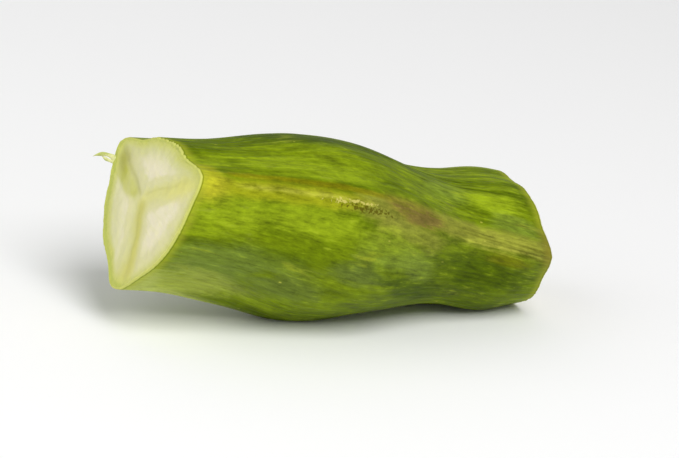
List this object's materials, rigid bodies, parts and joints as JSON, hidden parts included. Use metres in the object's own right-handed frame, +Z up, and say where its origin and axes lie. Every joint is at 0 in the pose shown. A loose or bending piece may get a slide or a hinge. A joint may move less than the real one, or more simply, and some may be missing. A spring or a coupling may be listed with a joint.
{
  "type": "moringa pod",
  "caption": "Cut length of a fresh moringa pod, cornered along its seams and swollen over its seeds, with spongy pith in both cut ends. Lies on its side.",
  "frame": {"origin": "on the surface that the pod lies on, under the middle of its bounding box", "axes": "+Z up; the pod lies along X, with its thicker, near cut end at -X and its thinner, far cut end at +X; the long seam and the near cut are seen from -Y"},
  "size_m": [0.065, 0.0246, 0.025],
  "materials": {
    "pod": "waxy green skin with yellow seams, and pale matt pith on the cut ends"
  },
  "bodies": {
    "root": {"pod": "pod"}
  },
  "joints": []
}
